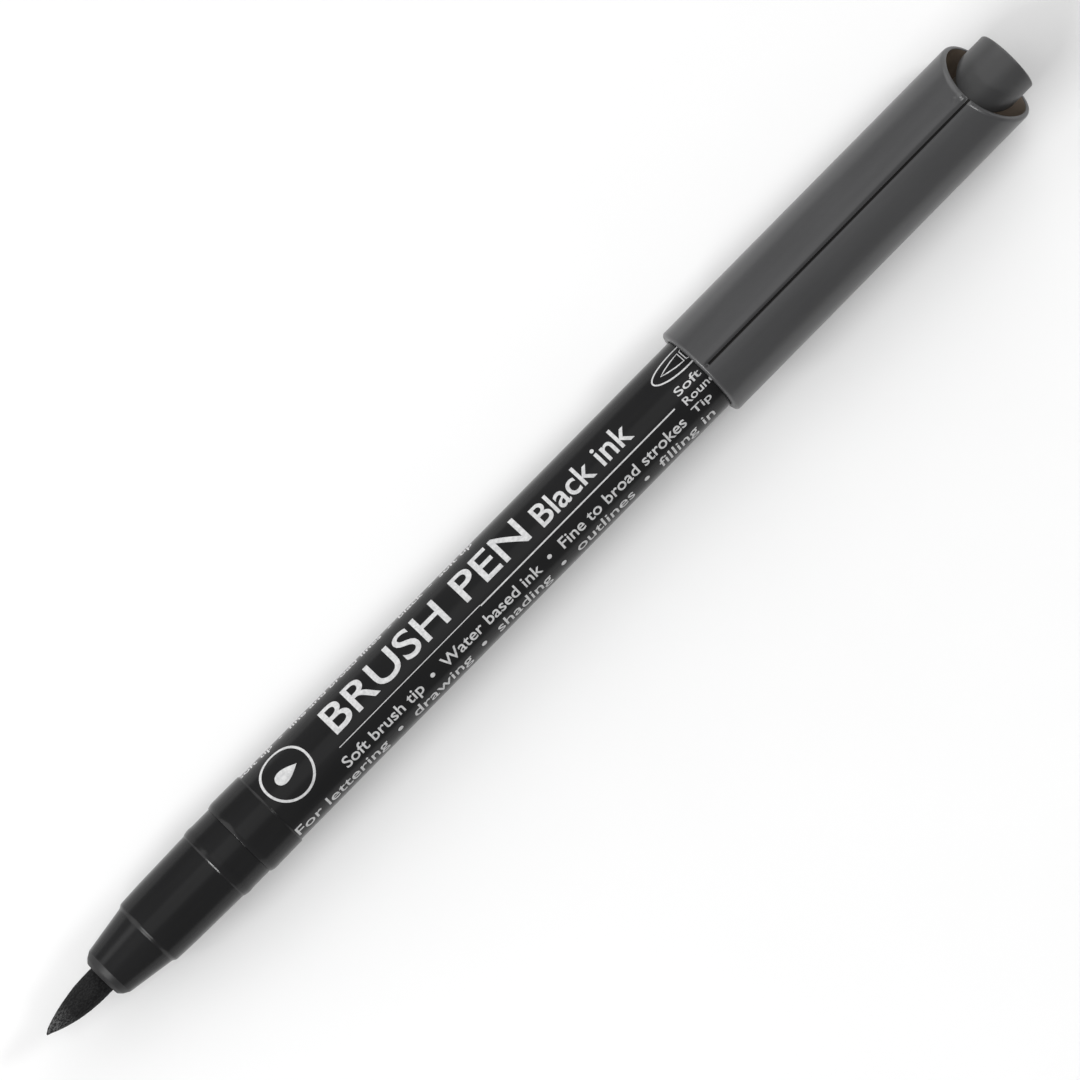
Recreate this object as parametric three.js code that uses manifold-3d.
// A brush pen with a felt nib, its cap posted on its tail.
//
// The pen lies along X with the nib at -X and the cap at +X, and the cap rests on Z = 0.
// Lengths are in millimetres. A station is a distance along the pen from the nib's tip.
import * as THREE from 'three';
import { mergeVertices } from 'three/addons/utils/BufferGeometryUtils.js';
import Module from 'manifold-3d';

const wasm = await Module();
wasm.setup();

// ---------------------------------------------------------------- driving dimensions

const PEN_LENGTH = 162.4; // nib tip to crown plug, cap posted

// Brush nib
const NIB_RADIUS = 1.85;
const NIB_TAPER = 8.4; // length of the pointed part
const NIB_HINGE = 7.9; // station that the free end bends about
const NIB_BALL_RADIUS = 1.8; // rounded inner end of the bending part
const NIB_CUP_RADIUS = 1.94; // hollow in the fixed part that clears the ball
const NIB_CUP_RIM = 25; // degrees behind the hinge plane at which the hollow opens
const NIB_TAIL_RADIUS = 1.45; // thinner end that feeds from the reservoir
const NIB_TAIL_START = 31;
const NIB_TAIL_BLEND = 0.4;
const NIB_TAIL_POINT = 1; // tapered length at the very end
const NIB_END = 54;
const NIB_TAPER_STATIONS = [0, 0.5, 1.2, 2.2, 3.4, 4.8, 6.4]; // where the taper's facets meet

// Front section: nose, grip, snap rib and collar
const NOSE_START = 9.3;
const NOSE_MOUTH_RADIUS = 2.4;
const NOSE_FACE_RADIUS = 2.5;
const NOSE_BEVEL_LENGTH = 0.45; // steep bevel round the front face
const NOSE_BEVEL_RADIUS = 2.98;
const NOSE_RING_LENGTH = 1.25; // bevelled ring in front of the cone
const NOSE_RING_RADIUS = 3.41;
const CONE_END = 16.6;
const CONE_END_RADIUS = 4.33;
const SHOULDER_LENGTH = 0.5; // step from the cone up to the grip
const GRIP_START_RADIUS = 4.59;
const GRIP_MID = 20;
const GRIP_MID_RADIUS = 4.75;
const GRIP_END = 27.95;
const GRIP_END_RADIUS = 4.95;
const RIB_MIDDLE = 28.8;
const RIB_HALF_TOP = 0.1;
const RIB_END = 29.4;
const RIB_RADIUS = 5.19;
const COLLAR_RADIUS = 5.08;
const SPIGOT_RADIUS = 4.4;
const SPIGOT_END = 46;
const COLLAR_BORE_RADIUS = 3.12;
const COLLAR_BORE_START = 12.6;
const COLLAR_BORE_END = 27.6;
const SPIGOT_BORE_RADIUS = 3.75;

// Slotted sleeve round the nib
const SLEEVE_START = 13;
const SLEEVE_END = 27.5;
const SLEEVE_RADIUS = 3.05;
const SLEEVE_BORE_RADIUS = 1.91;
const AIR_SLOTS = 4;
const AIR_SLOT_WIDTH = 0.8;
const AIR_SLOT_DEPTH = 0.7;

// Barrel
const BARREL_START = 32.2;
const BARREL_END = 127.5;
const BARREL_RADIUS = 5.18;
const BARREL_BORE_RADIUS = 4.45;
const BAND_CHAMFER_LENGTH = 0.55;
const BAND_CHAMFER_RADIUS = 5.12;
const BAND_FRONT_RADIUS = 5.39;
const BAND_BACK_RADIUS = 5.34;
const BAND_END = 37.25;
const BAND_BLEND = 0.3;
const EDGE = 0.15; // small broken edge of a moulding

// Tail plug
const TAIL_END = 128.2;
const TAIL_SPIGOT_START = 121;
const TAIL_SPIGOT_RADIUS = 4.4;
const TAIL_POCKET_RADIUS = 3.5;
const TAIL_CHAMFER = 0.4;
const TAIL_WALL = 1.2; // closed end
const TAIL_GAP = 0.05; // between the plug's flange and the barrel

// Ink reservoir and its film sleeve
const RESERVOIR_START = 46.4;
const RESERVOIR_END = 120.6;
const RESERVOIR_RADIUS = 3.95;
const FEED_HOLE_RADIUS = 1.6;
const FEED_HOLE_END = 55;
const FILM_CLEARANCE = 0.05;
const FILM_THICKNESS = 0.15;
const FILM_SETBACK = 0.5; // bare fibre at each end

// Cap
const CAP_MOUTH = 109.85;
const CAP_RADIUS = 6.39; // to the corners of its facets; the middles of the facets lie at 6.35
const CAP_BORE_RADIUS = 5.8;
const CAP_LIP_LENGTH = 1.3;
const CAP_LIP_RADIUS = 5.25; // running clearance to the barrel
const CAP_MOUTH_FILLET = 0.45;
const RIM_MIDDLE = 158.8; // station where the slanted, slightly curved rim crosses the pen's axis
const RIM_SLOPE = 0.57; // how fast the rim runs towards the nib with height above the axis
const RIM_CURVE = 0.0165; // and how much faster with height squared, per millimetre
const RIM_SKEW = 5.25; // degrees that it leans towards the +Y side
const SEAM_WIDTH = 0.3;
const SEAM_DEPTH = 0.28;
const SEAM_OFFSET_Y = 0.05;
const SEAM_START = 0.5; // from the cap's mouth

// Inner cap
const LINER_RADIUS = 5.72;
const LINER_BORE_RADIUS = 5.25;
const LINER_START = 111.7;
const LINER_STOP = 128.5; // shoulder that the posted tail stops short of
const LINER_STOP_WALL = 0.9;
const CHAMBER_RADIUS = 4.75;
const CHAMBER_BORE_RADIUS = 4.2;
const CHAMBER_BORE_END = 144.3;
const CHAMBER_END = 145.5;
const STEM_RADIUS = 3.1;
const STEM_END = 160;
const STEM_CHAMFER = 0.3;

// Crown plug
const CROWN_RADIUS = 4.21;
const CROWN_CORNER = 0.3;
const CROWN_SOCKET_RADIUS = 3.2;
const CROWN_SOCKET_END = 160.2;
const CROWN_SKIRT_BACK = 158.95; // skirt station from the sides round to the -Z side
const CROWN_SKIRT_SLOPE = 0.88; // how fast it runs towards the nib with height on the +Z side
const CROWN_SKIRT_CURVE = 0.035; // and how much faster with height squared, per millimetre
const CROWN_SKIRT_BLEND = 0.5; // half length of the curve between level and slanted

const OUTER_SEGMENTS = 28;
const INNER_SEGMENTS = 32;
const CORNER_STEPS = 3;
const BALL_STEPS = 6;
const CURVE_STEPS = 8;
const BIG = 40; // larger than any section of the pen

// ---------------------------------------------------------------- materials

const plastic = (color, roughness) => new THREE.MeshStandardMaterial({ color, roughness, metalness: 0 });

const BLACK_PLASTIC = plastic('#141416', 0.35);
const CAP_PLASTIC = plastic('#3b3b3d', 0.38);
const CROWN_PLASTIC = plastic('#434345', 0.4);
const LINER_PLASTIC = plastic('#5c5648', 0.5);
const SLEEVE_PLASTIC = plastic('#d8d8d2', 0.5);
const NIB_FELT = plastic('#26262a', 0.9);
const RESERVOIR_FIBRE = plastic('#2d2d33', 0.95);
const FILM_PLASTIC = plastic('#e6e8ea', 0.25);

// ---------------------------------------------------------------- solids

// Points on an arc in a lathe profile, from one angle to another in degrees.
// Angle 0 points along the pen towards the cap, and 90 points away from its axis.
function arc(station, radius, size, from, to, steps = CORNER_STEPS) {
  return Array.from({ length: steps + 1 }, (_, i) => {
    const angle = THREE.MathUtils.degToRad(from + ((to - from) * i) / steps);
    return [station + size * Math.cos(angle), radius + size * Math.sin(angle)];
  });
}

// Turns a closed outline of [station, radius] points round the pen's axis, which becomes X.
// A profile that touches the axis starts and ends on it. Half a facet's turn puts flats, not
// edges, at the top and bottom, so that the posted cap lies still on a table.
function turned(profile, segments = OUTER_SEGMENTS) {
  const area = profile.reduce((sum, [s, r], i) => {
    const [nextS, nextR] = profile[(i + 1) % profile.length];
    return sum + s * nextR - nextS * r;
  }, 0);
  const outline = area > 0 ? [...profile].reverse() : [...profile];
  const onAxis = profile[0][1] === 0;
  if (!onAxis) outline.push(outline[0]);
  const points = outline.map(([s, r]) => new THREE.Vector2(r, s));
  return new THREE.LatheGeometry(points, segments)
    .rotateZ(-Math.PI / 2)
    .rotateX(Math.PI / segments);
}

function toSolid(geometry) {
  const bare = geometry.clone().deleteAttribute('normal').deleteAttribute('uv');
  const merged = mergeVertices(bare, 1e-4);
  const mesh = new wasm.Mesh({
    numProp: 3,
    vertProperties: merged.attributes.position.array,
    triVerts: new Uint32Array(merged.index.array),
  });
  return new wasm.Manifold(mesh);
}

function toGeometry(solid) {
  const { vertProperties, triVerts } = solid.getMesh();
  const geometry = new THREE.BufferGeometry();
  geometry.setAttribute('position', new THREE.BufferAttribute(vertProperties, 3));
  geometry.setIndex(new THREE.BufferAttribute(triVerts, 1));
  const faceted = geometry.toNonIndexed();
  faceted.computeVertexNormals();
  return faceted;
}

const cut = (geometry, ...tools) =>
  toGeometry(tools.reduce((solid, tool) => solid.subtract(toSolid(tool)), toSolid(geometry)));

const box = (x, y, z, width, depth, height) =>
  new THREE.BoxGeometry(width, depth, height).translate(x, y, z);

// ---------------------------------------------------------------- nib

// Radius of the pointed brush at a distance from its tip.
const brushRadius = (s) => NIB_RADIUS * (1 - (1 - s / NIB_TAPER) ** 2.1) ** 0.9;

// Free end of the brush, with a ball behind the hinge so that it turns in the fixed part.
function nibPoint() {
  const tip = NIB_TAPER_STATIONS.map((s) => [s, brushRadius(s)]);
  const ball = arc(NIB_HINGE, 0, NIB_BALL_RADIUS, 90, 0, BALL_STEPS);
  ball[ball.length - 1][1] = 0;
  return turned([...tip, ...ball], INNER_SEGMENTS);
}

// Fixed part of the brush: a hollow that clears the ball, the shank and the thin feeding tail.
function nibShank() {
  const cup = arc(NIB_HINGE, 0, NIB_CUP_RADIUS, 0, 90 - NIB_CUP_RIM, BALL_STEPS);
  cup[0][1] = 0;
  const rimStation = cup[cup.length - 1][0];
  return turned(
    [
      ...cup,
      [rimStation, NIB_RADIUS],
      [NIB_TAIL_START, NIB_RADIUS],
      [NIB_TAIL_START + NIB_TAIL_BLEND, NIB_TAIL_RADIUS],
      [NIB_END - NIB_TAIL_POINT, NIB_TAIL_RADIUS],
      [NIB_END, NIB_TAIL_RADIUS / 2],
      [NIB_END, 0],
    ],
    INNER_SEGMENTS,
  );
}

function nibCollar() {
  const sleeve = turned(
    [
      [SLEEVE_START, SLEEVE_BORE_RADIUS],
      [SLEEVE_START, SLEEVE_RADIUS],
      [SLEEVE_END, SLEEVE_RADIUS],
      [SLEEVE_END, SLEEVE_BORE_RADIUS],
    ],
    INNER_SEGMENTS,
  );
  const middle = (SLEEVE_START + SLEEVE_END) / 2;
  const slots = Array.from({ length: AIR_SLOTS }, (_, i) =>
    box(middle, 0, SLEEVE_RADIUS, BIG, AIR_SLOT_WIDTH, 2 * AIR_SLOT_DEPTH).rotateX(
      ((i + 0.5) * 2 * Math.PI) / AIR_SLOTS,
    ),
  );
  return cut(sleeve, ...slots);
}

// ---------------------------------------------------------------- front section and barrel

// One moulding: rounded nose ring, cone, grip, snap rib, collar and the spigot inside the barrel.
function frontSection() {
  return turned([
    [NOSE_START, NOSE_MOUTH_RADIUS],
    [NOSE_START, NOSE_FACE_RADIUS],
    [NOSE_START + NOSE_BEVEL_LENGTH, NOSE_BEVEL_RADIUS],
    [NOSE_START + NOSE_RING_LENGTH, NOSE_RING_RADIUS],
    [CONE_END, CONE_END_RADIUS],
    [CONE_END + SHOULDER_LENGTH, GRIP_START_RADIUS],
    [GRIP_MID, GRIP_MID_RADIUS],
    [GRIP_END, GRIP_END_RADIUS],
    [RIB_MIDDLE - RIB_HALF_TOP, RIB_RADIUS],
    [RIB_MIDDLE + RIB_HALF_TOP, RIB_RADIUS],
    [RIB_END, COLLAR_RADIUS],
    [BARREL_START - EDGE, COLLAR_RADIUS],
    [BARREL_START - EDGE, SPIGOT_RADIUS],
    [SPIGOT_END, SPIGOT_RADIUS],
    [SPIGOT_END, SPIGOT_BORE_RADIUS],
    [COLLAR_BORE_END, SPIGOT_BORE_RADIUS],
    [COLLAR_BORE_END, COLLAR_BORE_RADIUS],
    [COLLAR_BORE_START, COLLAR_BORE_RADIUS],
    [COLLAR_BORE_START, NOSE_MOUTH_RADIUS],
  ]);
}

function barrel() {
  return turned([
    [BARREL_START, BARREL_BORE_RADIUS],
    [BARREL_START, BAND_CHAMFER_RADIUS],
    [BARREL_START + BAND_CHAMFER_LENGTH, BAND_FRONT_RADIUS],
    [BAND_END, BAND_BACK_RADIUS],
    [BAND_END + BAND_BLEND, BARREL_RADIUS],
    [BARREL_END, BARREL_RADIUS],
    [BARREL_END, BARREL_BORE_RADIUS],
  ]);
}

// Closes the barrel behind the reservoir. Its inside is hollow towards the nib.
function tailPlug() {
  return turned([
    [TAIL_END - TAIL_WALL, 0],
    [TAIL_END - TAIL_WALL, TAIL_POCKET_RADIUS],
    [TAIL_SPIGOT_START, TAIL_POCKET_RADIUS],
    [TAIL_SPIGOT_START, TAIL_SPIGOT_RADIUS],
    [BARREL_END + TAIL_GAP, TAIL_SPIGOT_RADIUS],
    [BARREL_END + TAIL_GAP, BARREL_RADIUS],
    [TAIL_END - TAIL_CHAMFER, BARREL_RADIUS],
    [TAIL_END, BARREL_RADIUS - TAIL_CHAMFER],
    [TAIL_END, 0],
  ]);
}

// ---------------------------------------------------------------- ink store

function inkReservoir() {
  return turned(
    [
      [FEED_HOLE_END, 0],
      [FEED_HOLE_END, FEED_HOLE_RADIUS],
      [RESERVOIR_START, FEED_HOLE_RADIUS],
      [RESERVOIR_START, RESERVOIR_RADIUS],
      [RESERVOIR_END, RESERVOIR_RADIUS],
      [RESERVOIR_END, 0],
    ],
    INNER_SEGMENTS,
  );
}

function reservoirFilm() {
  const inner = RESERVOIR_RADIUS + FILM_CLEARANCE;
  const outer = inner + FILM_THICKNESS;
  const start = RESERVOIR_START + FILM_SETBACK;
  const end = RESERVOIR_END - FILM_SETBACK;
  return turned([[start, inner], [start, outer], [end, outer], [end, inner]], INNER_SEGMENTS);
}

// ---------------------------------------------------------------- cap

// Turns an outline of [along the pen, height above the axis] into a block that spans the whole pen,
// skewed by an angle in degrees and moved to a station.
function sideCutter(outline, skew, station) {
  return new THREE.ExtrudeGeometry(outline, {
    depth: BIG,
    bevelEnabled: false,
    curveSegments: CURVE_STEPS,
  })
    .translate(0, 0, -BIG / 2)
    .rotateX(Math.PI / 2)
    .rotateZ(THREE.MathUtils.degToRad(skew))
    .translate(station, 0, 0);
}

// Everything beyond the slanted, slightly curved open end of the cap.
function rimCutter() {
  const reach = CAP_RADIUS + 1;
  const bulge = RIM_CURVE * reach * reach;
  const side = new THREE.Shape();
  side.moveTo(BIG, -reach);
  side.lineTo(RIM_SLOPE * reach - bulge, -reach);
  side.quadraticCurveTo(bulge, 0, -RIM_SLOPE * reach - bulge, reach);
  side.lineTo(BIG, reach);
  return sideCutter(side, RIM_SKEW, RIM_MIDDLE);
}

// Outer sleeve: rounded mouth with a lip round the barrel, a seam on its +Z side, a slanted end.
function capShell() {
  const sleeveEnd = PEN_LENGTH + CAP_RADIUS; // trimmed by the slanted cut
  const sleeve = turned([
    [CAP_MOUTH, CAP_LIP_RADIUS],
    ...arc(CAP_MOUTH + CAP_MOUTH_FILLET, CAP_RADIUS - CAP_MOUTH_FILLET, CAP_MOUTH_FILLET, 180, 90),
    [sleeveEnd, CAP_RADIUS],
    [sleeveEnd, CAP_BORE_RADIUS],
    [CAP_MOUTH + CAP_LIP_LENGTH, CAP_BORE_RADIUS],
    [CAP_MOUTH + CAP_LIP_LENGTH, CAP_LIP_RADIUS],
  ]);
  const seamStart = CAP_MOUTH + SEAM_START;
  const seam = box(seamStart + BIG, SEAM_OFFSET_Y, CAP_RADIUS, 2 * BIG, SEAM_WIDTH, 2 * SEAM_DEPTH);
  return cut(sleeve, rimCutter(), seam);
}

// Liner: wide bore that grips the posted tail, sealed chamber for the nib, and a stem for the crown.
function innerCap() {
  return turned([
    [CHAMBER_BORE_END, 0],
    [CHAMBER_BORE_END, CHAMBER_BORE_RADIUS],
    [LINER_STOP, CHAMBER_BORE_RADIUS],
    [LINER_STOP, LINER_BORE_RADIUS],
    [LINER_START, LINER_BORE_RADIUS],
    [LINER_START, LINER_RADIUS],
    [LINER_STOP + LINER_STOP_WALL, LINER_RADIUS],
    [LINER_STOP + LINER_STOP_WALL, CHAMBER_RADIUS],
    [CHAMBER_END, CHAMBER_RADIUS],
    [CHAMBER_END, STEM_RADIUS],
    [STEM_END - STEM_CHAMFER, STEM_RADIUS],
    [STEM_END, STEM_RADIUS - STEM_CHAMFER],
    [STEM_END, 0],
  ]);
}

// Removes the skirt of the crown below a line that is level behind and slants down on the +Z side.
function skirtCutter() {
  const reach = CROWN_RADIUS + 1;
  const forward = (a, b) => -CROWN_SKIRT_SLOPE * (a + b) / 2 - CROWN_SKIRT_CURVE * a * b;
  const side = new THREE.Shape();
  side.moveTo(-BIG, -BIG);
  side.lineTo(0, -BIG);
  side.lineTo(0, -CROWN_SKIRT_BLEND);
  side.quadraticCurveTo(0, 0, forward(CROWN_SKIRT_BLEND, CROWN_SKIRT_BLEND), CROWN_SKIRT_BLEND);
  side.quadraticCurveTo(
    forward(CROWN_SKIRT_BLEND, reach),
    (CROWN_SKIRT_BLEND + reach) / 2,
    forward(reach, reach),
    reach,
  );
  side.lineTo(-BIG, reach);
  return sideCutter(side, 0, CROWN_SKIRT_BACK);
}

// Plug on the liner's stem, with its open skirt cut on a slant.
function crownPlug() {
  const start = CROWN_SKIRT_BACK - 2 * CROWN_RADIUS;
  const plug = turned([
    [CROWN_SOCKET_END, 0],
    [CROWN_SOCKET_END, CROWN_SOCKET_RADIUS],
    [start, CROWN_SOCKET_RADIUS],
    [start, CROWN_RADIUS],
    ...arc(PEN_LENGTH - CROWN_CORNER, CROWN_RADIUS - CROWN_CORNER, CROWN_CORNER, 90, 0),
    [PEN_LENGTH, 0],
  ]);
  return cut(plug, skirtCutter());
}

// ---------------------------------------------------------------- assembly

function part(name, geometry, material) {
  const mesh = new THREE.Mesh(geometry, material);
  mesh.name = name;
  return mesh;
}

function penBody() {
  return new THREE.Group().add(
    part('barrel', barrel(), BLACK_PLASTIC),
    part('tail_plug', tailPlug(), BLACK_PLASTIC),
    part('front_section', frontSection(), BLACK_PLASTIC),
    part('nib_collar', nibCollar(), SLEEVE_PLASTIC),
    part('nib_shank', nibShank(), NIB_FELT),
    part('nib_point', nibPoint(), NIB_FELT),
    part('ink_reservoir', inkReservoir(), RESERVOIR_FIBRE),
    part('reservoir_film', reservoirFilm(), FILM_PLASTIC),
  );
}

function cap() {
  return new THREE.Group().add(
    part('cap_shell', capShell(), CAP_PLASTIC),
    part('inner_cap', innerCap(), LINER_PLASTIC),
    part('crown_plug', crownPlug(), CROWN_PLASTIC),
  );
}

// The part's origin is under the middle of the pen, on the surface that the cap rests on.
const pen = new THREE.Group().add(penBody(), cap());
pen.position.set(-PEN_LENGTH / 2, 0, CAP_RADIUS * Math.cos(Math.PI / OUTER_SEGMENTS));

export default new THREE.Group().add(pen);
